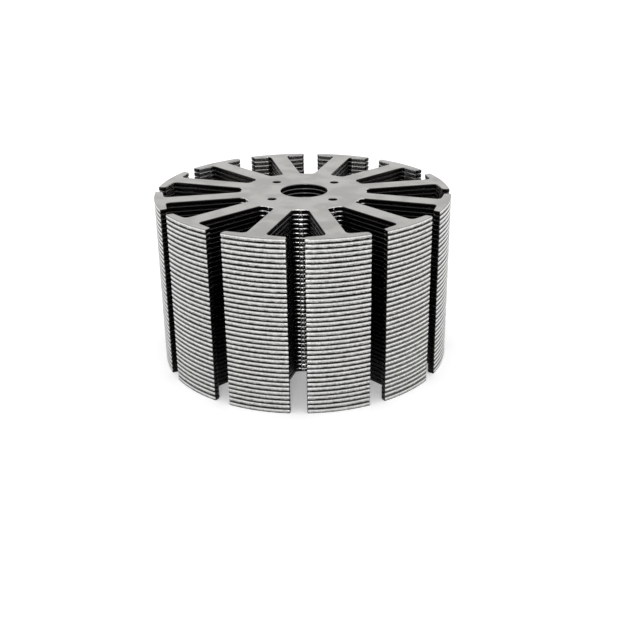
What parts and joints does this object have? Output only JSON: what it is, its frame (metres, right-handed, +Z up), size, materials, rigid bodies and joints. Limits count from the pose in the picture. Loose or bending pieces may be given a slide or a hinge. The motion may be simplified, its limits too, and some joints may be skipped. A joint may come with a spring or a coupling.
{
  "type": "slotted motor lamination stack",
  "caption": "Cylindrical stack of punched electrical steel sheets with open slots, T-shaped teeth and a round bore, joined by a weld seam up the floor of every slot.",
  "frame": {"origin": "centre of the bottom sheet's lower face, on the bore's axis", "axes": "+Z up the bore's axis, one slot opens towards -Y"},
  "size_m": [0.038, 0.038, 0.0221],
  "materials": {
    "electrical_steel": "bare cold rolled electrical steel with sheared edges",
    "weld_metal": "bare weld bead fused from the sheets' own edges"
  },
  "bodies": {
    "root": {"lamination_01": "electrical_steel", "lamination_02": "electrical_steel", "lamination_03": "electrical_steel", "lamination_04": "electrical_steel", "lamination_05": "electrical_steel", "lamination_06": "electrical_steel", "lamination_07": "electrical_steel", "lamination_08": "electrical_steel", "lamination_09": "electrical_steel", "lamination_10": "electrical_steel", "lamination_11": "electrical_steel", "lamination_12": "electrical_steel", "lamination_13": "electrical_steel", "lamination_14": "electrical_steel", "lamination_15": "electrical_steel", "lamination_16": "electrical_steel", "lamination_17": "electrical_steel", "lamination_18": "electrical_steel", "lamination_19": "electrical_steel", "lamination_20": "electrical_steel", "lamination_21": "electrical_steel", "lamination_22": "electrical_steel", "lamination_23": "electrical_steel", "lamination_24": "electrical_steel", "lamination_25": "electrical_steel", "lamination_26": "electrical_steel", "lamination_27": "electrical_steel", "lamination_28": "electrical_steel", "lamination_29": "electrical_steel", "lamination_30": "electrical_steel", "lamination_31": "electrical_steel", "lamination_32": "electrical_steel", "lamination_33": "electrical_steel", "lamination_34": "electrical_steel", "lamination_35": "electrical_steel", "lamination_36": "electrical_steel", "lamination_37": "electrical_steel", "weld_seam_01": "weld_metal", "weld_seam_02": "weld_metal", "weld_seam_03": "weld_metal", "weld_seam_04": "weld_metal", "weld_seam_05": "weld_metal", "weld_seam_06": "weld_metal", "weld_seam_07": "weld_metal", "weld_seam_08": "weld_metal", "weld_seam_09": "weld_metal", "weld_seam_10": "weld_metal", "weld_seam_11": "weld_metal", "weld_seam_12": "weld_metal"}
  },
  "joints": []
}
